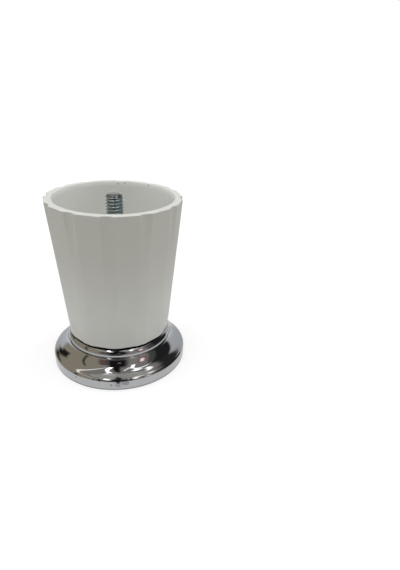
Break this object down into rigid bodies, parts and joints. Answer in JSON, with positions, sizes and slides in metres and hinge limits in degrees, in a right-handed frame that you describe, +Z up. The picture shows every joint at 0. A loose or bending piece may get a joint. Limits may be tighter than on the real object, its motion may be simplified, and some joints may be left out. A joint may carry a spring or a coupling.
{
  "type": "furniture leg",
  "caption": "Short furniture leg: tapered faceted white sleeve on a round chromed base, with an upright threaded stud inside for screwing it to a mounting plate.",
  "frame": {"origin": "centre of the base's underside, on the floor", "axes": "+Z up along the leg's axis and its stud; +X through one of the sleeve's arrises"},
  "size_m": [0.0622, 0.0622, 0.0792],
  "materials": {
    "white_plastic": "semi-gloss moulded",
    "chrome": "mirror plated",
    "zinc_steel": "bright zinc plated"
  },
  "bodies": {
    "root": {"fluted_sleeve": "white_plastic", "chrome_base": "chrome", "stud_bolt": "zinc_steel", "washer": "zinc_steel", "clamp_nut": "zinc_steel"}
  },
  "joints": []
}
